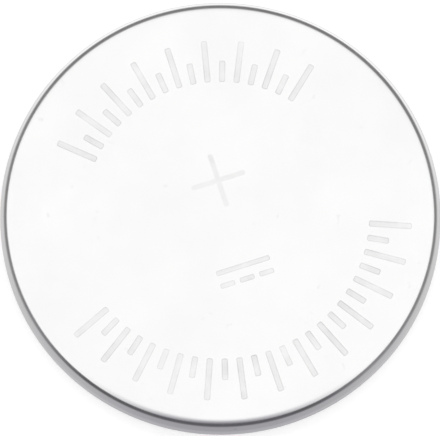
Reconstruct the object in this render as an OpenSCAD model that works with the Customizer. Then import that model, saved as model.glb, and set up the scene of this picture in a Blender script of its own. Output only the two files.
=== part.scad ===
// Rechargeable lithium coin cell, lying with its positive can up.
// The origin is the centre of the negative contact face, and +Z points to the positive face.
// The can, the cap and the gasket are sheet sections revolved about Z. Inside lie two coated
// foils, each a chain of three discs, folded crosswise through each other with separators between.

/* [Cell] */
// Outside diameter of the cell
cell_d = 20; // [17:0.5:30]
// Height between the two contact faces
cell_h = 1.6; // [1.5:0.1:3.2]

/* [Positive can] */
// Sheet thickness of the can
can_t = 0.2; // [0.15:0.01:0.3]
// Outside radius of the edge round the positive face
can_edge_r = 0.6; // [0.32:0.02:0.7]
// Outside radius of the bend where the wall turns in under the crimp
crimp_r = 0.3; // [0.25:0.01:0.45]
// Width of the crimped lip, seen from below
lip_w = 1.15; // [1:0.05:1.25]
// Slope of the lip, rising towards its inner edge, in degrees
lip_slope = 8; // [0:1:12]
// Height of the lip's underside over the plane of the negative face
lip_rise = 0.06; // [0.02:0.01:0.15]

/* [Gasket] */
// Thickness of the gasket where it is squeezed between can and cap
gasket_t = 0.25; // [0.15:0.01:0.3]
// How far the gasket's foot reaches in past the cap's skirt
gasket_foot_w = 0.15; // [0.05:0.05:0.4]
// How far the gasket shows past the edge of the crimped lip
gasket_peek = 0.1; // [0.04:0.01:0.12]

/* [Negative cap] */
// Sheet thickness of the cap
cap_t = 0.2; // [0.15:0.01:0.3]
// Width of the shoulder under the crimp, between the middles of step and skirt
shoulder_w = 0.9; // [0.8:0.05:1.1]
// Inside radius of the cap's bends
cap_bend_r = 0.1; // [0.05:0.01:0.12]
// How far the step leans outwards between contact face and shoulder
step_lean = 0.12; // [0:0.01:0.2]

/* [Electrode stack] */
// Thickness of the aluminium foil
al_foil_t = 0.02; // [0.015:0.001:0.03]
// Thickness of the copper foil
cu_foil_t = 0.012; // [0.01:0.001:0.02]
// Share of the coating between two facing foils that is the cathode's
cathode_share = 0.46; // [0.35:0.01:0.6]
// Thickness of one separator
separator_t = 0.025; // [0.02:0.005:0.03]
// Clearance between the separators and the bend at the cap's floor
stack_clear = 0.3; // [0.1:0.05:0.6]
// How far each separator covers the anode's edge
anode_margin = 0.3; // [0.2:0.05:0.5]
// How far the anode covers the cathode's edge
cathode_margin = 0.2; // [0.1:0.05:0.4]
// Width of the necks between the discs of a foil
neck_w = 3; // [2:0.5:5]
// Clearance between a separator's edge and the neck folded round it
neck_clear = 0.05; // [0.02:0.01:0.1]

/* [Hidden] */

// Flat steps in each round corner of a section
corner_steps = 8;
// Circle resolution
$fn = 96;
// How far a neck's strip runs into the disc that it springs from
neck_root = 0.3;
// Most of the room in the cap's skirt that the bend into it may take
skirt_bend_share = 0.9;

// Middle line of the can's sheet, from the axis out, down the wall and in along the lip:
// each corner is [r, z, bend radius]
can_mid_r = cell_d / 2 - can_t / 2;
can_mid_z = cell_h - can_t / 2;
lip_mid_z = lip_rise + can_t / 2;
lip_inner_r = cell_d / 2 - lip_w;
can_edge = [can_mid_r, can_mid_z, can_edge_r - can_t / 2];
can_crimp = [can_mid_r, lip_mid_z, crimp_r - can_t / 2];
function lip_point(r) = [r, lip_mid_z + (can_mid_r - r) * tan(lip_slope), 0];
can_path = [[0, can_mid_z, 0], can_edge, can_crimp, lip_point(lip_inner_r)];

// The cap's middle line stands off the can's by half of each sheet and the gasket between
cap_stand_off = can_t / 2 + gasket_t + cap_t / 2;
cap_mid_bend = cap_bend_r + cap_t / 2;
skirt_mid_r = can_mid_r - cap_stand_off;
skirt_end_z = cell_h - can_t - gasket_t;
// Height of the shoulder's middle line at a given radius, parallel to the lip
function shoulder_z(r) = lip_point(r)[1] + cap_stand_off / cos(lip_slope);
step_mid_r = skirt_mid_r - shoulder_w;
face_corner_r = step_mid_r - step_lean;
// The bend into the skirt is kept within the skirt's height
skirt_corner_z = shoulder_z(skirt_mid_r);
skirt_bend_room = (skirt_end_z - skirt_corner_z) / tan(45 + lip_slope / 2);
skirt_bend = min(cap_mid_bend, skirt_bend_room * skirt_bend_share);
cap_skirt_corner = [skirt_mid_r, skirt_corner_z, skirt_bend];
cap_step_corner = [step_mid_r, shoulder_z(step_mid_r), cap_mid_bend];
cap_face_corner = [face_corner_r, cap_t / 2, cap_mid_bend];
skirt_end = [skirt_mid_r, skirt_end_z, 0];
cap_path = [[0, cap_t / 2, 0], cap_face_corner, cap_step_corner, cap_skirt_corner, skirt_end];

// The gasket follows the inside of the can from its foot to just past the lip
foot_inner_r = skirt_mid_r - cap_t / 2 - gasket_foot_w;
gasket_end_r = lip_inner_r - gasket_peek;
gasket_can_path = [[foot_inner_r, can_mid_z, 0], can_edge, can_crimp, lip_point(gasket_end_r)];
gasket_shoulder_start = [gasket_end_r, shoulder_z(gasket_end_r), 0];
gasket_cap_path = [gasket_shoulder_start, cap_skirt_corner, skirt_end];

// Electrodes from the can down to the cap, with a separator between each two.
// The first and the last are coated on their inner side only.
stack = ["cathode", "anode", "cathode", "anode", "cathode", "anode"];
electrodes = len(stack);
separators = electrodes - 1;
separator_r = face_corner_r - cap_mid_bend - stack_clear;
anode_r = separator_r - anode_margin;
cathode_r = anode_r - cathode_margin;
// The coatings take what foils and separators leave of the room between cap and can
foils_t = (al_foil_t + cu_foil_t) * electrodes / 2;
stack_h = cell_h - can_t - cap_t;
facing_coats_t = (stack_h - foils_t) / separators - separator_t;
cathode_coat_t = facing_coats_t * cathode_share;
anode_coat_t = facing_coats_t - cathode_coat_t;

function is_cathode(k) = stack[k] == "cathode";
function foil_t(k) = is_cathode(k) ? al_foil_t : cu_foil_t;
function coat_t(k) = is_cathode(k) ? cathode_coat_t : anode_coat_t;
function coat_above(k) = k == 0 ? 0 : coat_t(k);
function coat_below(k) = k == electrodes - 1 ? 0 : coat_t(k);
function electrode_t(k) = coat_above(k) + foil_t(k) + coat_below(k);
function electrode_top(k) =
  k == 0 ? cell_h - can_t : electrode_top(k - 1) - electrode_t(k - 1) - separator_t;
function foil_bottom(k) = electrode_top(k) - coat_above(k) - foil_t(k);
function electrode_r(k) = is_cathode(k) ? cathode_r : anode_r;

// Unit vector from point a to point b, in the plane of the section
function toward(a, b) = let (d = [b[0] - a[0], b[1] - a[1]]) d / norm(d);
// The same vector turned a quarter turn to the left
function left_of(v) = [-v[1], v[0]];
function turned(v, a) = [v[0] * cos(a) - v[1] * sin(a), v[0] * sin(a) + v[1] * cos(a)];

// Points of corner b between a and c, on the line that lies a distance off to the left
function corner_points(a, b, c, off) =
  let (
    u = toward(a, b),
    v = toward(b, c),
    turn = atan2(u[0] * v[1] - u[1] * v[0], u * v),
    side = sign(turn),
    mitre = [b[0], b[1]] + off * (left_of(u) + left_of(v)) / (1 + left_of(u) * left_of(v)),
    r = max(b[2] - side * off, 0),
    centre = mitre - u * r * tan(abs(turn) / 2) + left_of(u) * side * r
  )
  r == 0 ? [mitre]
    : [for (i = [0 : corner_steps]) centre - turned(left_of(u), turn * i / corner_steps) * side * r];

// A line beside a path, a distance off to its left, with the path's corners rounded
function beside(path, off) =
  let (
    last = len(path) - 1,
    first_side = left_of(toward(path[0], path[1])),
    last_side = left_of(toward(path[last - 1], path[last]))
  )
  concat(
    [[path[0][0], path[0][1]] + first_side * off],
    [for (i = [1 : last - 1]) each corner_points(path[i - 1], path[i], path[i + 1], off)],
    [[path[last][0], path[last][1]] + last_side * off]
  );

function backwards(points) = [for (i = [len(points) - 1 : -1 : 0]) points[i]];

// Outline of a sheet of thickness t along a middle line
function sheet_outline(path, t) = concat(beside(path, t / 2), backwards(beside(path, -t / 2)));

// A flat round layer that stands on height z
module layer(r, z, t) {
  translate([0, 0, z])
    cylinder(r = r, h = t);
}

// The fold that joins foils k and k + 2 round the separators between them
module neck(k) {
  t = foil_t(k);
  upper_z = foil_bottom(k) + t / 2;
  lower_z = foil_bottom(k + 2) + t / 2;
  fold_r = (upper_z - lower_z) / 2;
  start_r = electrode_r(k) - neck_root;
  reach_r = separator_r + neck_clear + fold_r;
  path = [
    [start_r, upper_z, 0],
    [reach_r, upper_z, fold_r],
    [reach_r, lower_z, fold_r],
    [start_r, lower_z, 0],
  ];
  // The folds go round by quarter turns, so the two chains pass crosswise
  rotate([0, 0, 90 * k])
    rotate([90, 0, 0])
      translate([0, 0, -neck_w / 2])
        linear_extrude(neck_w)
          polygon(sheet_outline(path, t));
}

// A chain of foil discs, beginning with electrode first
module foil_chain(first) {
  for (k = [first : 2 : electrodes - 1])
    layer(electrode_r(k), foil_bottom(k), foil_t(k));
  for (k = [first : 2 : electrodes - 3])
    neck(k);
}

// The coating layers on a chain of foil discs
module coating(first) {
  for (k = [first : 2 : electrodes - 1]) {
    if (k > 0)
      layer(electrode_r(k), foil_bottom(k) + foil_t(k), coat_t(k));
    if (k < electrodes - 1)
      layer(electrode_r(k), foil_bottom(k) - coat_t(k), coat_t(k));
  }
}

module positive_can() {
  color([0.93, 0.93, 0.93])
    rotate_extrude()
      polygon(sheet_outline(can_path, can_t));
}

module gasket() {
  // Inner edge of the foot, on its underside
  foot_edge = [foot_inner_r, skirt_end_z];
  color([0.85, 0.86, 0.84])
    rotate_extrude()
      polygon(concat(
        beside(gasket_can_path, -can_t / 2),
        beside(gasket_cap_path, -cap_t / 2),
        [foot_edge]
      ));
}

module negative_cap() {
  color([0.82, 0.82, 0.81])
    rotate_extrude()
      polygon(sheet_outline(cap_path, cap_t));
}

module cathode_foil() {
  color([0.8, 0.81, 0.83])
    foil_chain(0);
}

module cathode_coating() {
  color([0.12, 0.12, 0.13])
    coating(0);
}

module anode_foil() {
  color([0.78, 0.47, 0.3])
    foil_chain(1);
}

module anode_coating() {
  color([0.2, 0.2, 0.21])
    coating(1);
}

// Separator number n lies under electrode n - 1
module separator(n) {
  color([0.96, 0.96, 0.95])
    layer(separator_r, electrode_top(n), separator_t);
}

positive_can();
gasket();
negative_cap();
cathode_foil();
cathode_coating();
anode_foil();
anode_coating();
separator(1);  // separator_1
separator(2);  // separator_2
separator(3);  // separator_3
separator(4);  // separator_4
separator(5);  // separator_5
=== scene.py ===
"""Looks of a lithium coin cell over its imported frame: fine meshes for the can, the gasket and the
cap, marks stamped into the positive face, and plain soft studio light."""
import math

import bpy
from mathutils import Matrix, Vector
from mathutils.geometry import delaunay_2d_cdt


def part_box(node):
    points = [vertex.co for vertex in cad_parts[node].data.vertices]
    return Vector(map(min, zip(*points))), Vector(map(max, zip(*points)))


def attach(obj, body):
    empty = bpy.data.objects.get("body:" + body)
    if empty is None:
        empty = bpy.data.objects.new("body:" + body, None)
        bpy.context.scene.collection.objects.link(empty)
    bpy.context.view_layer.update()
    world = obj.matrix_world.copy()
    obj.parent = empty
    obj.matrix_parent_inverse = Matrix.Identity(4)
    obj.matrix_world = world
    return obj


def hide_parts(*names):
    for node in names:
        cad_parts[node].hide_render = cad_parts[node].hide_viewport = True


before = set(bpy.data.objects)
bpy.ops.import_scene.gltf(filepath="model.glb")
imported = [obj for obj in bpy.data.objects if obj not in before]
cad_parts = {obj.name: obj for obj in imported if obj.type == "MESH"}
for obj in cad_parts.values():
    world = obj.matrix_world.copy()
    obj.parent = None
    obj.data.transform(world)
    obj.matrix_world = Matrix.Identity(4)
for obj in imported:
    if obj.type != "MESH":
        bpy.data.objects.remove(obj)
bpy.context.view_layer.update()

# Sizes in millimetres, as the construction has them
MM = 0.001
can_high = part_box("positive_can")[1]
CELL_R = can_high.x / MM
CELL_H = can_high.z / MM
CAN_T = 0.2
CAN_EDGE_R = 0.6
CRIMP_R = 0.3
LIP_W = 1.15
LIP_SLOPE = math.radians(8)
LIP_RISE = 0.06
GASKET_T = 0.25
GASKET_FOOT_W = 0.15
GASKET_PEEK = 0.1
CAP_T = 0.2
CAP_BEND_R = 0.1
SHOULDER_W = 0.9
STEP_LEAN = 0.12

# Mesh fineness
AROUND = 288
EDGE_STEPS = 16
INSIDE_STEPS = 6
# Points that are the same to this many decimals of a millimetre are one
WELD_DIGITS = 5
# The face's triangulation: its settings, the number of loose points in the innermost ring of them,
# and how far they keep from the marks' rims
KEEP_HULL = 0
MERGE_DISTANCE = 1e-6
INNER_RING = 6
RIM_KEEP_OFF = 0.08

# Stamped marks, in millimetres and degrees on the positive face
STAMP_DEPTH = 0.028
STAMP_WALL = 0.07
STAMP_RINGS = 6
STAMP_CORNER = 0.02
STAMP_CORNER_STEPS = 3
# Tones of a mark's rings from its rim to its floor: 0 is bare plating and 1 is MARK_GREY_AND_SHADE_COLOUR.
# The stamp and faint tones peak on the trench's walls, which is painted shade, and ease to a lighter grey
# on the floor; the plus's soft tones only deepen towards its floor
STAMP_GREY_AND_WALL_SHADE = (0, 0.4, 0.95, 1, 0.85, 0.6, 0.5)
FAINT_GREY_AND_WALL_SHADE = (0, 0.3, 0.75, 0.8, 0.7, 0.5, 0.42)
SOFT_TONES = (0, 0.12, 0.26, 0.36, 0.42, 0.44, 0.44)
FACE_TURN = 18
PLUS_AT = (-0.1, 1.54)
PLUS_ARM = 1.25
PLUS_STROKE = 0.18
PLUS_WALL = 0.12
TICK_STROKE = 0.24
LONG_TICK = 1.9
SHORT_TICK = 0.95
UPPER_SCALE = {"r": 7.12, "start": 156, "stop": 59, "ticks": 17}
LOWER_SCALE = {"r": 7.72, "start": 221, "stop": 356, "ticks": 25}
DC_SIGN_AT = (1.12, -2.73)
DC_SIGN_W = 2.5
DC_SIGN_GAP = 0.62
DC_SIGN_STROKE = 0.2
DC_DASH_W = 0.65
DC_DASH_PITCH = 0.925

# Noise patterns, where the scale counts features in a metre
PLATING_CLOUDS = {"scale": 350, "detail": 3}
PLATING_GLOSS = {"scale": 1200, "detail": 4}
PLATING_GRAIN = {"scale": 22000, "detail": 2}
PLATING_SPECKS = {"scale": 2200, "detail": 2}
WEAR_OF_MARKS = {"scale": 260, "detail": 1}
WEAR_ALONG_STROKES = {"scale": 1300, "detail": 2}
PLASTIC_CLOUDS = {"scale": 900, "detail": 3}
PLASTIC_GLOSS = {"scale": 3000, "detail": 3}
PLASTIC_GRAIN = {"scale": 9000, "detail": 3}
ROLLED_LINES = {"scale": 2500, "detail": 3, "stretch": (1, 14, 1)}
PRESSED_GRAIN = {"scale": 14000, "detail": 4}
# The part of a noise's values that a range is spread over
NOISE_MIDDLE = (0.3, 0.7)
SPECK_PEAKS = (0.7, 0.76)

# Finishes: the values at the two ends of the noise, and the depth of the bumps in millimetres
CAN_COLOURS = ((0.945, 0.945, 0.945), (0.978, 0.977, 0.976))
CAP_COLOURS = ((0.84, 0.84, 0.835), (0.9, 0.9, 0.895))
# The marks' grey at full tone; on the trench walls it is painted shade
MARK_GREY_AND_SHADE_COLOUR = (0.68, 0.68, 0.68)
SPECK_COLOUR = (0.925, 0.925, 0.925)
PLASTIC_COLOURS = ((0.74, 0.75, 0.73), (0.86, 0.86, 0.84))
ALUMINIUM_COLOURS = ((0.76, 0.77, 0.78), (0.88, 0.89, 0.9))
COPPER_COLOURS = ((0.78, 0.42, 0.27), (0.9, 0.55, 0.38))
CATHODE_COLOURS = ((0.012, 0.012, 0.014), (0.035, 0.035, 0.038))
GRAPHITE_COLOURS = ((0.035, 0.036, 0.038), (0.08, 0.08, 0.085))
FILM_COLOURS = ((0.86, 0.86, 0.85), (0.94, 0.94, 0.93))
CAN_ROUGHNESS = (0.14, 0.22)
CAP_ROUGHNESS = (0.24, 0.34)
PLASTIC_ROUGHNESS = (0.36, 0.5)
FOIL_ROUGHNESS = (0.22, 0.38)
CATHODE_ROUGHNESS = (0.85, 0.75)
GRAPHITE_ROUGHNESS = (0.65, 0.55)
FILM_ROUGHNESS = (0.6, 0.5)
MARK_WEAR = (0.6, 1.1)
STROKE_WEAR = (0.5, 1.1)
PLATING_DEPTH = 0.0006
PLASTIC_DEPTH = 0.002
FOIL_DEPTH = 0.001
POWDER_DEPTH = 0.003
PLASTIC_SUBSURFACE = 0.3
PLASTIC_SUBSURFACE_RADIUS = 0.3

# Camera: seen from steeply above the front edge
CAMERA_ELEVATION = 76.5
CAMERA_DISTANCE = 400.0
PHOTO_WIDTH_PX = 440
PX_PER_MM = 22.019
AIM_X = -0.017
AIM_HEIGHT = 0.672
SENSOR_WIDTH = 36.0
CLIP_START = 10.0
CLIP_END = 10000.0

# Studio
FLOOR_R = 2000.0
FLOOR_GAP = 0.01
FLOOR_HOLE_R = 8.6
FLOOR_AROUND = 96
FLOOR_WHITE = 0.88
FLOOR_LIFT = 0.32

# Graded card close round the cell. It glows and shows only in reflections on the metal, so it paints
# reflections: the dark line on the rounded edge, the grey of the wall and crimp that stands for shaded
# floor at their foot, and the light grey inside the line in front. Its tone is a list of (tilt, tone)
# stops, with the tilt in degrees from overhead as the cell's rounded edge sees it: 90 is level with the
# edge, 180 is straight down. The darker the tone, the more of a shade it has
CARD_R = 10.8
CARD_AROUND = 144
CARD_TILTS = range(6, 184, 3)
CARD_SPOT = math.radians(37)
CARD_SHADE = (1.016, 0.993, 0.999)
FRONT_SHADE = (1.006, 0.971, 1.074)
BACK_TONES = [(14, 1), (34, 0.95), (42, 0.91), (50, 0.55), (57, 0.19), (89, 0.19), (101, 0.84), (106, 1),
              (121, 1), (133, 0.83), (160, 0.82), (180, 0.7)]
SIDE_TONES = [(51, 1), (58, 0.22), (83, 0.22), (100, 0.64), (160, 0.68), (180, 0.6)]
FRONT_TONES = [(8, 1), (16, 0.95), (24, 0.71), (32, 0.49), (40, 0.35), (54, 0.19), (60, 0.105), (86, 0.105),
               (101, 0.34), (155, 0.35), (168, 0.45), (180, 0.36)]
# Directions of the card's parts, the angles from them in degrees at which a part is full and gone,
# and the tilts at which the band and the line end
FRONT = math.radians(270)
LINE_FRONT = math.radians(264)
BACK = math.radians(85)
BAND_SPREAD = (0, 48)
LINE_SPREAD = (30, 52)
WALL_SPREAD = (0, 103)
BACK_SPREAD = (35, 92)
BAND_END = 57
LINE_END = 93


def smooth(t):
    """0 to 1 with a soft start and end."""
    t = min(max(t, 0), 1)
    return t * t * (3 - 2 * t)


class Shell:
    """A mesh in the making: points are welded by place, each face corner has its own normal, and the
    points of the stamped marks have a tone, which on the trench walls is painted shade."""

    def __init__(self):
        self.points = []
        self.index = {}
        self.faces = []
        self.normals = []
        self.stamped = {}

    def point(self, p):
        key = tuple(round(x, WELD_DIGITS) for x in p)
        if key not in self.index:
            self.index[key] = len(self.points)
            self.points.append(p)
        return self.index[key]

    def face(self, points, normals):
        corners = []
        for p, n in zip(points, normals):
            i = self.point(p)
            if i not in [c[0] for c in corners]:
                corners.append((i, n))
        if len(corners) > 2:
            self.faces.append([i for i, _ in corners])
            self.normals += [n for _, n in corners]

    def build(self, name):
        mesh = bpy.data.meshes.new(name)
        mesh.from_pydata([Vector(p) * MM for p in self.points], [], self.faces)
        mesh.polygons.foreach_set("use_smooth", [True] * len(mesh.polygons))
        mesh.normals_split_custom_set([Vector(n).normalized() for n in self.normals])
        stamp = mesh.attributes.new("stamp", "FLOAT", "POINT")
        stamp.data.foreach_set("value", [self.stamped.get(i, 0.0) for i in range(len(self.points))])
        mesh.update()
        piece = bpy.data.objects.new(name, mesh)
        bpy.context.scene.collection.objects.link(piece)
        return piece


# Sections: a path is a list of (r, z, bend radius), and a line beside it is a list of
# (point, normal) pairs with the path's corners rounded

def toward(a, b):
    """Direction from a to b, which may be points or stations of a path."""
    return (Vector(b[:2]) - Vector(a[:2])).normalized()


def left_of(v):
    return Vector((-v.y, v.x))


def turned(v, angle):
    c, s = math.cos(angle), math.sin(angle)
    return Vector((v.x * c - v.y * s, v.x * s + v.y * c))


def corner_line(a, b, c, off, steps):
    """The rounded corner at b between a and c, at a distance to the left of the path."""
    u, v = toward(a, b), toward(b, c)
    turn = math.atan2(u.x * v.y - u.y * v.x, u.dot(v))
    side = math.copysign(1, turn)
    mitre = Vector(b[:2]) + (left_of(u) + left_of(v)) * off / (1 + left_of(u).dot(left_of(v)))
    r = max(b[2] - side * off, 0)
    centre = mitre - u * r * math.tan(abs(turn) / 2) + left_of(u) * side * r
    line = []
    for i in range(steps + 1):
        n = turned(left_of(u), turn * i / steps)
        line.append((centre - n * side * r, n))
    return line


def line_beside(path, off, steps):
    """The whole line at a distance to the left of the path, with its normals to the left."""
    start, end = left_of(toward(path[0], path[1])), left_of(toward(path[-2], path[-1]))
    line = [(Vector(path[0][:2]) + start * off, start)]
    for a, b, c in zip(path, path[1:], path[2:]):
        line += corner_line(a, b, c, off, steps)
    line.append((Vector(path[-1][:2]) + end * off, end))
    return line


def flipped(line):
    """The same line with its normals to the other side, run backwards."""
    return [(p, -n) for p, n in reversed(line)]


def flat_end(a, b):
    """The straight line from a to b, with its normals on the left."""
    n = left_of(toward(a, b))
    return [(a, n), (b, n)]


def sheet_lines(path, t, left_steps, right_steps):
    """Both sides and the far end of a sheet whose path begins on the axis or at a cut end."""
    left = line_beside(path, t / 2, left_steps)
    right = flipped(line_beside(path, -t / 2, right_steps))
    return left, flat_end(left[-1][0], right[0][0]), right


def circle_angles(count):
    return [math.tau * i / count for i in range(count)]


def spun(p, angle):
    """A section's point or direction (r, z) turned round the Z axis."""
    return (p.x * math.cos(angle), p.x * math.sin(angle), p.y)


def spin(shell, line):
    """Sweeps a section line round the Z axis."""
    angles = circle_angles(AROUND)
    for (p, pn), (q, qn) in zip(line, line[1:]):
        for a, b in zip(angles, angles[1:] + angles[:1]):
            shell.face(
                [spun(p, a), spun(q, a), spun(q, b), spun(p, b)],
                [spun(pn, a), spun(qn, a), spun(qn, b), spun(pn, b)],
            )


# Middle lines of the can and the cap
CAN_MID_R = CELL_R - CAN_T / 2
CAN_MID_Z = CELL_H - CAN_T / 2
LIP_MID_Z = LIP_RISE + CAN_T / 2
LIP_INNER_R = CELL_R - LIP_W
FACE_R = CELL_R - CAN_EDGE_R


def lip_point(r):
    """Middle of the can's sheet at this radius of the crimped lip."""
    return (r, LIP_MID_Z + (CAN_MID_R - r) * math.tan(LIP_SLOPE), 0)


can_edge = (CAN_MID_R, CAN_MID_Z, CAN_EDGE_R - CAN_T / 2)
can_crimp = (CAN_MID_R, LIP_MID_Z, CRIMP_R - CAN_T / 2)
can_path = [(0, CAN_MID_Z, 0), can_edge, can_crimp, lip_point(LIP_INNER_R)]

CAP_STAND_OFF = CAN_T / 2 + GASKET_T + CAP_T / 2
CAP_MID_BEND = CAP_BEND_R + CAP_T / 2
SKIRT_MID_R = CAN_MID_R - CAP_STAND_OFF
SKIRT_END_Z = CELL_H - CAN_T - GASKET_T
STEP_MID_R = SKIRT_MID_R - SHOULDER_W


def shoulder_z(r):
    """Height of the middle of the cap's sheet at this radius of its shoulder."""
    return lip_point(r)[1] + CAP_STAND_OFF / math.cos(LIP_SLOPE)


cap_face_corner = (STEP_MID_R - STEP_LEAN, CAP_T / 2, CAP_MID_BEND)
cap_step_corner = (STEP_MID_R, shoulder_z(STEP_MID_R), CAP_MID_BEND)
cap_skirt_corner = (SKIRT_MID_R, shoulder_z(SKIRT_MID_R), CAP_MID_BEND)
skirt_end = (SKIRT_MID_R, SKIRT_END_Z, 0)
cap_path = [(0, CAP_T / 2, 0), cap_face_corner, cap_step_corner, cap_skirt_corner, skirt_end]

FOOT_INNER_R = SKIRT_MID_R - CAP_T / 2 - GASKET_FOOT_W
GASKET_END_R = LIP_INNER_R - GASKET_PEEK
gasket_can_path = [(FOOT_INNER_R, CAN_MID_Z, 0), can_edge, can_crimp, lip_point(GASKET_END_R)]
gasket_cap_path = [(GASKET_END_R, shoulder_z(GASKET_END_R), 0), cap_skirt_corner, skirt_end]


# Stamped marks. Each has an outline at any distance from its middle lines:
# a list of (place, outward direction) pairs

def corner_arc(centre, x_axis, reach, soft, quarter):
    """A rounded corner of an outline: the quarter turn of this number about a mark's centre."""
    across = left_of(x_axis)
    arc = []
    for i in range(STAMP_CORNER_STEPS + 1):
        out = turned(x_axis, (quarter + i / STAMP_CORNER_STEPS) * math.pi / 2)
        arc.append((Vector(centre) + x_axis * reach[0] + across * reach[1] + out * soft, out))
    return arc


def bar_outline(centre, angle, half_length, w, soft):
    """Outline of a straight stroke with square ends and slightly rounded corners."""
    along = turned(Vector((1, 0)), angle)
    end, side = half_length + w - soft, w - soft
    outline = []
    for quarter, (x, y) in enumerate(((end, side), (-end, side), (-end, -side), (end, -side))):
        outline += corner_arc(centre, along, (x, y), soft, quarter)
    return outline


def plus_outline(centre, angle, half_length, w, soft):
    """Outline of a plus sign with square ends and slightly rounded corners."""
    end, side = half_length + w - soft, w - soft
    outline = []
    for arm in range(4):
        along = turned(Vector((1, 0)), angle + arm * math.pi / 2)
        outline += corner_arc(centre, along, (end, -side), soft, -1)
        outline += corner_arc(centre, along, (end, side), soft, 0)
        inner = turned(along, math.pi / 4)
        outline.append((Vector(centre) + inner * w * math.sqrt(2), inner))
    return outline


def stamp(outline, centre, angle, length, stroke, tones, wall=STAMP_WALL):
    """A mark: its rings from the rim down to the trench's floor, as lists of (point, normal), and the
    tone of each ring: the mark's grey, with painted shade where the tones peak on the walls. Its corners
    are rounded by STAMP_CORNER at the floor."""
    half = (length - stroke) / 2
    rings = []
    for i in range(STAMP_RINGS + 1):
        t = i / STAMP_RINGS
        # 6 t (1 - t) is the slope of smooth(t)
        slope = STAMP_DEPTH * 6 * t * (1 - t) / wall
        z = CELL_H - STAMP_DEPTH * smooth(t)
        soft = STAMP_CORNER + wall * (1 - t)
        rings.append([
            ((p.x, p.y, z), (-out.x * slope, -out.y * slope, 1))
            for p, out in outline(centre, angle, half, stroke / 2 + wall * (0.5 - t), soft)
        ])
    return rings, tones


def scale_marks(r, start, stop, ticks):
    """Radial ticks along an arc, long and short by turns, standing on the arc's foot line."""
    marks = []
    for i in range(ticks):
        angle = math.radians(start + (stop - start) * i / (ticks - 1))
        length = SHORT_TICK if i % 2 else LONG_TICK
        mid_r = r - (LONG_TICK - length) / 2
        at = (mid_r * math.cos(angle), mid_r * math.sin(angle))
        marks.append(stamp(bar_outline, at, angle, length, TICK_STROKE, STAMP_GREY_AND_WALL_SHADE))
    return marks


def direct_current_sign(turn):
    """One long bar over three short ones."""
    along = turned(Vector((1, 0)), turn)
    up = left_of(along)
    middle = Vector(DC_SIGN_AT)
    bars = [(middle + up * DC_SIGN_GAP / 2, DC_SIGN_W)]
    bars += [(middle - up * DC_SIGN_GAP / 2 + along * DC_DASH_PITCH * i, DC_DASH_W) for i in (-1, 0, 1)]
    return [stamp(bar_outline, at, turn, length, DC_SIGN_STROKE, FAINT_GREY_AND_WALL_SHADE) for at, length in bars]


def face_marks():
    turn = math.radians(FACE_TURN)
    plus = stamp(plus_outline, PLUS_AT, turn, 2 * PLUS_ARM, PLUS_STROKE, SOFT_TONES, PLUS_WALL)
    return [plus, *scale_marks(**UPPER_SCALE), *scale_marks(**LOWER_SCALE), *direct_current_sign(turn)]


def stamp_marks(shell, marks):
    """Sinks each mark into the face and returns the marks' rims."""
    rims = []
    for rings, tones in marks:
        n = len(rings[0])
        for upper, lower in zip(rings, rings[1:]):
            for i in range(n):
                j = (i + 1) % n
                corners = [upper[i], upper[j], lower[j], lower[i]]
                shell.face([c[0] for c in corners], [c[1] for c in corners])
        shell.face([c[0] for c in rings[-1]], [(0, 0, 1)] * n)
        for ring, tone in zip(rings, tones):
            for p, _ in ring:
                shell.stamped[shell.point(p)] = tone
        rims.append([c[0] for c in rings[0]])
    return rims


def fill_face(shell, rims):
    """Triangulates the flat of the face between its edge and the marks' rims. Rings of loose points,
    about 1 mm apart, keep the triangles even."""
    places, edges = [], []
    circle = [spun(Vector((FACE_R, CELL_H)), angle) for angle in circle_angles(AROUND)]
    for loop in [circle, *rims]:
        first = len(places)
        places += [Vector(p[:2]) for p in loop]
        edges += [(first + i, first + (i + 1) % len(loop)) for i in range(len(loop))]
    rings = int(FACE_R)
    for k in range(rings):
        r = FACE_R * (k + 0.5) / rings
        for angle in circle_angles(INNER_RING * (k + 1)):
            p = Vector((r * math.cos(angle), r * math.sin(angle)))
            if not any(near_loop(p, rim) for rim in rims):
                places.append(p)
    made = delaunay_2d_cdt(places, edges, [list(range(AROUND))], KEEP_HULL, MERGE_DISTANCE)
    made_places, _, triangles = made[:3]
    for triangle in triangles:
        corners = [made_places[i] for i in triangle]
        middle = sum(corners, Vector((0, 0))) / 3
        if any(inside_loop(middle, rim) for rim in rims):
            continue
        shell.face([(c.x, c.y, CELL_H) for c in corners], [(0, 0, 1)] * 3)


def near_loop(p, loop):
    """True if p is inside a loop or close to one of its points."""
    return inside_loop(p, loop) or min((p - Vector(q[:2])).length for q in loop) < RIM_KEEP_OFF


def inside_loop(p, loop):
    """Even-odd test of a place against a closed loop of points."""
    inside = False
    for a, b in zip(loop, loop[1:] + loop[:1]):
        if (a[1] > p.y) != (b[1] > p.y) and p.x < a[0] + (p.y - a[1]) / (b[1] - a[1]) * (b[0] - a[0]):
            inside = not inside
    return inside


# Pieces

def make_can():
    shell = Shell()
    outside, lip_end, inside = sheet_lines(can_path, CAN_T, EDGE_STEPS, INSIDE_STEPS)
    # The outside's first stretch is the flat face, which the marks and their surround fill
    for line in (outside[1:], lip_end, inside):
        spin(shell, line)
    fill_face(shell, stamp_marks(shell, face_marks()))
    return shell.build("can_shell")


def make_cap():
    shell = Shell()
    inside, skirt_rim, outside = sheet_lines(cap_path, CAP_T, INSIDE_STEPS, EDGE_STEPS)
    for line in (inside, skirt_rim, outside):
        spin(shell, line)
    return shell.build("cap_shell")


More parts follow.
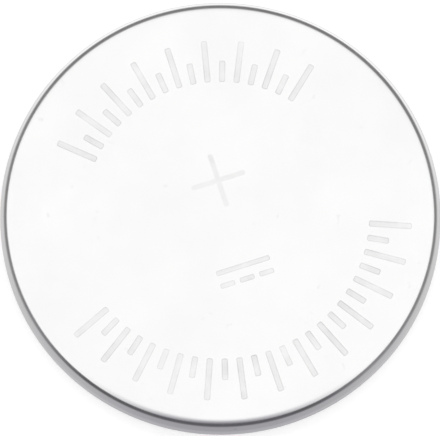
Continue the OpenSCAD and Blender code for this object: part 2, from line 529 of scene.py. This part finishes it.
def make_gasket():
    shell = Shell()
    outer = line_beside(gasket_can_path, -CAN_T / 2, INSIDE_STEPS)
    inner = line_beside(gasket_cap_path, -CAP_T / 2, INSIDE_STEPS)
    foot_edge = Vector((FOOT_INNER_R, SKIRT_END_Z))
    for line in (
        outer,
        flat_end(outer[-1][0], inner[0][0]),
        inner,
        flat_end(inner[-1][0], foot_edge),
        flat_end(foot_edge, outer[0][0]),
    ):
        spin(shell, line)
    return shell.build("gasket_ring")


# Materials

def new_material(name):
    material = bpy.data.materials.new(name)
    material.use_nodes = True
    tree = material.node_tree
    shader = tree.nodes["Principled BSDF"]
    return material, tree, shader


def noise(tree, scale, detail, stretch=(1, 1, 1)):
    """Noise in the object's own space, where scale counts features in a metre."""
    place = tree.nodes.new("ShaderNodeTexCoord")
    mapping = tree.nodes.new("ShaderNodeMapping")
    mapping.inputs["Scale"].default_value = stretch
    texture = tree.nodes.new("ShaderNodeTexNoise")
    texture.inputs["Scale"].default_value = scale
    texture.inputs["Detail"].default_value = detail
    tree.links.new(place.outputs["Object"], mapping.inputs["Vector"])
    tree.links.new(mapping.outputs["Vector"], texture.inputs["Vector"])
    return texture.outputs["Fac"]


def ramp(tree, source, low, high, span=NOISE_MIDDLE):
    """Maps a span of a 0 to 1 value, its middle unless given, onto low to high."""
    node = tree.nodes.new("ShaderNodeMapRange")
    node.inputs["From Min"].default_value, node.inputs["From Max"].default_value = span
    node.inputs["To Min"].default_value = low
    node.inputs["To Max"].default_value = high
    tree.links.new(source, node.inputs["Value"])
    return node.outputs["Result"]


def feed(tree, socket, value):
    """Links another node's socket to this one, or sets this one to a number or an (r, g, b) colour."""
    if isinstance(value, bpy.types.NodeSocket):
        tree.links.new(value, socket)
    else:
        socket.default_value = (*value, 1) if isinstance(value, tuple) else value


def combine(tree, operation, a, b):
    """A math node over two values, each of them a number or another node's socket."""
    node = tree.nodes.new("ShaderNodeMath")
    node.operation = operation
    feed(tree, node.inputs[0], a)
    feed(tree, node.inputs[1], b)
    return node.outputs["Value"]


def attribute_value(tree, name):
    node = tree.nodes.new("ShaderNodeAttribute")
    node.attribute_name = name
    return node.outputs["Fac"]


def mix_colour(tree, amount, a, b):
    """Mixes two colours, each of them (r, g, b) or another node's socket."""
    node = tree.nodes.new("ShaderNodeMix")
    node.data_type = "RGBA"
    tree.links.new(amount, node.inputs["Factor"])
    feed(tree, node.inputs["A"], a)
    feed(tree, node.inputs["B"], b)
    return node.outputs["Result"]


def add_bump(tree, shader, height, depth):
    bump = tree.nodes.new("ShaderNodeBump")
    bump.inputs["Distance"].default_value = depth * MM
    tree.links.new(height, bump.inputs["Height"])
    tree.links.new(bump.outputs["Normal"], shader.inputs["Normal"])


def nickel(name, colours, roughness):
    """Satin nickel plating: cloudy in its tone and gloss, finely grained, with sparse handling specks,
    and greyer in the stamped marks, with painted shade on the walls of their trenches."""
    material, tree, shader = new_material(name)
    shader.inputs["Metallic"].default_value = 1.0
    plating = mix_colour(tree, ramp(tree, noise(tree, **PLATING_CLOUDS), 0, 1), *colours)
    specks = ramp(tree, noise(tree, **PLATING_SPECKS), 0, 1, span=SPECK_PEAKS)
    plating = mix_colour(tree, specks, plating, SPECK_COLOUR)
    # Wear makes the marks' grey and their painted wall shade uneven, from mark to mark and along their
    # strokes
    stamped = attribute_value(tree, "stamp")
    wear_of_marks = ramp(tree, noise(tree, **WEAR_OF_MARKS), *MARK_WEAR)
    wear_along_strokes = ramp(tree, noise(tree, **WEAR_ALONG_STROKES), *STROKE_WEAR)
    wear = combine(tree, "MULTIPLY", wear_of_marks, wear_along_strokes)
    colour = mix_colour(tree, combine(tree, "MULTIPLY", stamped, wear), plating, MARK_GREY_AND_SHADE_COLOUR)
    tree.links.new(colour, shader.inputs["Base Color"])
    gloss = ramp(tree, noise(tree, **PLATING_GLOSS), *roughness)
    tree.links.new(gloss, shader.inputs["Roughness"])
    add_bump(tree, shader, noise(tree, **PLATING_GRAIN), PLATING_DEPTH)
    return material


def polypropylene():
    """Milky plastic, slightly cloudy, with a moulded sheen and fine grain."""
    material, tree, shader = new_material("milky_polypropylene")
    tone = mix_colour(tree, ramp(tree, noise(tree, **PLASTIC_CLOUDS), 0, 1), *PLASTIC_COLOURS)
    tree.links.new(tone, shader.inputs["Base Color"])
    gloss = ramp(tree, noise(tree, **PLASTIC_GLOSS), *PLASTIC_ROUGHNESS)
    tree.links.new(gloss, shader.inputs["Roughness"])
    shader.inputs["Subsurface Weight"].default_value = PLASTIC_SUBSURFACE
    shader.inputs["Subsurface Radius"].default_value = [PLASTIC_SUBSURFACE_RADIUS * MM] * 3
    add_bump(tree, shader, noise(tree, **PLASTIC_GRAIN), PLASTIC_DEPTH)
    return material


def foil(name, colours):
    """Rolled foil, with fine lines along the rolling direction."""
    material, tree, shader = new_material(name)
    lines = noise(tree, **ROLLED_LINES)
    tree.links.new(mix_colour(tree, ramp(tree, lines, 0, 1), *colours), shader.inputs["Base Color"])
    tree.links.new(ramp(tree, lines, *FOIL_ROUGHNESS), shader.inputs["Roughness"])
    shader.inputs["Metallic"].default_value = 1.0
    add_bump(tree, shader, lines, FOIL_DEPTH)
    return material


def powder(name, colours, roughness):
    """Pressed powder or porous film: a fine matt grain, shinier where it is light."""
    material, tree, shader = new_material(name)
    grain = noise(tree, **PRESSED_GRAIN)
    tree.links.new(mix_colour(tree, ramp(tree, grain, 0, 1), *colours), shader.inputs["Base Color"])
    tree.links.new(ramp(tree, grain, *roughness), shader.inputs["Roughness"])
    add_bump(tree, shader, grain, POWDER_DEPTH)
    return material


def dress_inner_nodes():
    """The sealed inner pieces keep their own shapes and get their finish."""
    white_film = powder("separator_film", FILM_COLOURS, FILM_ROUGHNESS)
    finishes = {
        "cathode_foil": foil("aluminium_foil", ALUMINIUM_COLOURS),
        "anode_foil": foil("copper_foil", COPPER_COLOURS),
        "cathode_coating": powder("cathode_powder", CATHODE_COLOURS, CATHODE_ROUGHNESS),
        "anode_coating": powder("graphite_powder", GRAPHITE_COLOURS, GRAPHITE_ROUGHNESS),
    }
    for name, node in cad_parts.items():
        finish = white_film if name.startswith("separator") else finishes.get(name)
        if finish:
            node.data.materials.clear()
            node.data.materials.append(finish)


def dress(piece, node, material):
    """Puts a piece in the place of its node, with its material."""
    piece.data.materials.append(material)
    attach(piece, "root")
    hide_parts(node)


# Studio

def stage_object(name, points, faces, material):
    mesh = bpy.data.meshes.new(name)
    mesh.from_pydata([Vector(p) * MM for p in points], [], faces)
    mesh.materials.append(material)
    thing = bpy.data.objects.new(name, mesh)
    bpy.context.scene.collection.objects.link(thing)
    return thing


def link_mix(tree, amount, first, second):
    mix = tree.nodes.new("ShaderNodeMixShader")
    tree.links.new(amount, mix.inputs["Fac"])
    tree.links.new(first, mix.inputs[1])
    tree.links.new(second, mix.inputs[2])
    return mix.outputs["Shader"]


def bare_material(name):
    material = bpy.data.materials.new(name)
    material.use_nodes = True
    tree = material.node_tree
    tree.nodes.clear()
    output = tree.nodes.new("ShaderNodeOutputMaterial")
    return material, tree, output.inputs["Surface"]


def floor_material():
    """White floor that keeps the cell's shadow. From below it is clear, so the underside can be seen."""
    material, tree, surface = bare_material("white_floor")
    white = tree.nodes.new("ShaderNodeBsdfDiffuse")
    white.inputs["Color"].default_value = (FLOOR_WHITE, FLOOR_WHITE, FLOOR_WHITE, 1)
    # What the camera, metal and glass see is lifted to the white of the background
    rays = tree.nodes.new("ShaderNodeLightPath").outputs
    seen = combine(tree, "MAXIMUM", rays["Is Camera Ray"], rays["Is Glossy Ray"])
    seen = combine(tree, "MAXIMUM", seen, rays["Is Transmission Ray"])
    lift = tree.nodes.new("ShaderNodeEmission")
    tree.links.new(combine(tree, "MULTIPLY", seen, FLOOR_LIFT), lift.inputs["Strength"])
    both = tree.nodes.new("ShaderNodeAddShader")
    tree.links.new(white.outputs["BSDF"], both.inputs[0])
    tree.links.new(lift.outputs["Emission"], both.inputs[1])
    clear = tree.nodes.new("ShaderNodeBsdfTransparent")
    side = tree.nodes.new("ShaderNodeNewGeometry")
    mixed = link_mix(tree, side.outputs["Backfacing"], both.outputs["Shader"], clear.outputs["BSDF"])
    tree.links.new(mixed, surface)
    return material


def ring_mesh_object(name, profile, around, material, values=None):
    """A stage piece swept round the cell. profile is a list of (r, z), and values holds a list with
    one number a point under each attribute's name."""
    points = [(r * math.cos(a), r * math.sin(a), z) for r, z in profile for a in circle_angles(around)]
    faces = []
    for k in range(len(profile) - 1):
        for i in range(around):
            j = (i + 1) % around
            faces.append((k * around + i, (k + 1) * around + i, (k + 1) * around + j, k * around + j))
    thing = stage_object(name, points, faces, material)
    for attribute, numbers in (values or {}).items():
        thing.data.attributes.new(attribute, "FLOAT", "POINT").data.foreach_set("value", numbers)
    return thing


def make_floor():
    """The floor has a hole under the cell, where light comes up to the underside."""
    profile = [(FLOOR_HOLE_R, -FLOOR_GAP), (FLOOR_R, -FLOOR_GAP)]
    ring_mesh_object("floor", profile, FLOOR_AROUND, floor_material())


def card_material():
    """The card's glow is a painted reflection. The darker its tone, the more of a shade the card has. The
    front has its own.
    """
    material, tree, surface = bare_material("graded_card")
    tone, front = attribute_value(tree, "tone"), attribute_value(tree, "front")
    shade = mix_colour(tree, front, CARD_SHADE, FRONT_SHADE)
    glow = tree.nodes.new("ShaderNodeEmission")
    tree.links.new(mix_colour(tree, tone, shade, (1, 1, 1)), glow.inputs["Color"])
    tree.links.new(tone, glow.inputs["Strength"])
    tree.links.new(glow.outputs["Emission"], surface)
    return material


def share(angle, middle, spread):
    """1 close to the middle direction and 0 far from it."""
    full, none = spread
    off = math.degrees(abs(math.remainder(angle - middle, math.tau)))
    return 1 - smooth((off - full) / (none - full))


def level(stops, tilt):
    """The tone at a tilt, straight between the stops."""
    for (t0, tone0), (t1, tone1) in zip(stops, stops[1:]):
        if tilt <= t1:
            return tone0 + (tone1 - tone0) * max(tilt - t0, 0) / (t1 - t0)
    return stops[-1][1]


def blend(angle, tilt, back, side, front):
    """Mixes the tones of the three directions. The band, the line and the wall's grey in front
    reach round to different angles."""
    if tilt < BAND_END:
        in_front = share(angle, FRONT, BAND_SPREAD)
    elif tilt < LINE_END:
        in_front = share(angle, LINE_FRONT, LINE_SPREAD)
    else:
        in_front = share(angle, FRONT, WALL_SPREAD)
    return side + (front - side) * in_front + (back - side) * share(angle, BACK, BACK_SPREAD)


def card_place(tilt):
    """The card's point at this tilt: on its wall, or on its foot along the floor."""
    edge_r = FACE_R + CAN_EDGE_R * math.sin(CARD_SPOT)
    edge_z = CELL_H - CAN_EDGE_R * (1 - math.cos(CARD_SPOT))
    foot_z = -FLOOR_GAP / 2
    z = edge_z + (CARD_R - edge_r) / math.tan(math.radians(tilt)) if tilt < 180 else foot_z
    if z > foot_z:
        return CARD_R, z
    return edge_r + (edge_z - foot_z) * math.tan(math.radians(180 - tilt)), foot_z


def make_card():
    """A graded card that stands close round the cell, glows, and shows only in reflections. It draws
    painted
    reflections: the dark line on the rounded edge, the grey of the wall that stands for shaded floor at
    its foot, and the light grey inside the line in front."""
    profile, tones = [], []
    for tilt in CARD_TILTS:
        profile.append(card_place(tilt))
        three = [level(stops, tilt) for stops in (BACK_TONES, SIDE_TONES, FRONT_TONES)]
        tones += [blend(a, tilt, *three) for a in circle_angles(CARD_AROUND)]
    fronts = [share(a, FRONT, WALL_SPREAD) for a in circle_angles(CARD_AROUND)] * len(profile)
    values = {"tone": tones, "front": fronts}
    card = ring_mesh_object("edge_card", profile, CARD_AROUND, card_material(), values)
    card.visible_camera = False
    card.visible_diffuse = False
    card.visible_transmission = False
    card.visible_shadow = False


def make_world():
    world = bpy.data.worlds.new("white_studio")
    world.use_nodes = True
    background = world.node_tree.nodes["Background"]
    background.inputs["Color"].default_value = (1, 1, 1, 1)
    background.inputs["Strength"].default_value = 1.0
    bpy.context.scene.world = world


def make_camera():
    tilt = math.radians(CAMERA_ELEVATION)
    back = Vector((0, -math.cos(tilt), math.sin(tilt)))
    data = bpy.data.cameras.new("camera")
    data.sensor_width = SENSOR_WIDTH
    data.lens = PX_PER_MM * CAMERA_DISTANCE * SENSOR_WIDTH / PHOTO_WIDTH_PX
    data.clip_start = CLIP_START * MM
    data.clip_end = CLIP_END * MM
    camera = bpy.data.objects.new("camera", data)
    camera.location = (Vector((AIM_X, 0, AIM_HEIGHT)) + back * CAMERA_DISTANCE) * MM
    camera.rotation_mode = "QUATERNION"
    camera.rotation_quaternion = (-back).to_track_quat("-Z", "Y")
    bpy.context.scene.collection.objects.link(camera)
    bpy.context.scene.camera = camera


make_camera()
make_world()
make_floor()
make_card()
dress_inner_nodes()
dress(make_can(), "positive_can", nickel("can_nickel", CAN_COLOURS, CAN_ROUGHNESS))
dress(make_cap(), "negative_cap", nickel("cap_nickel", CAP_COLOURS, CAP_ROUGHNESS))
dress(make_gasket(), "gasket", polypropylene())

bpy.context.scene.view_settings.view_transform = "Standard"
bpy.context.view_layer.update()
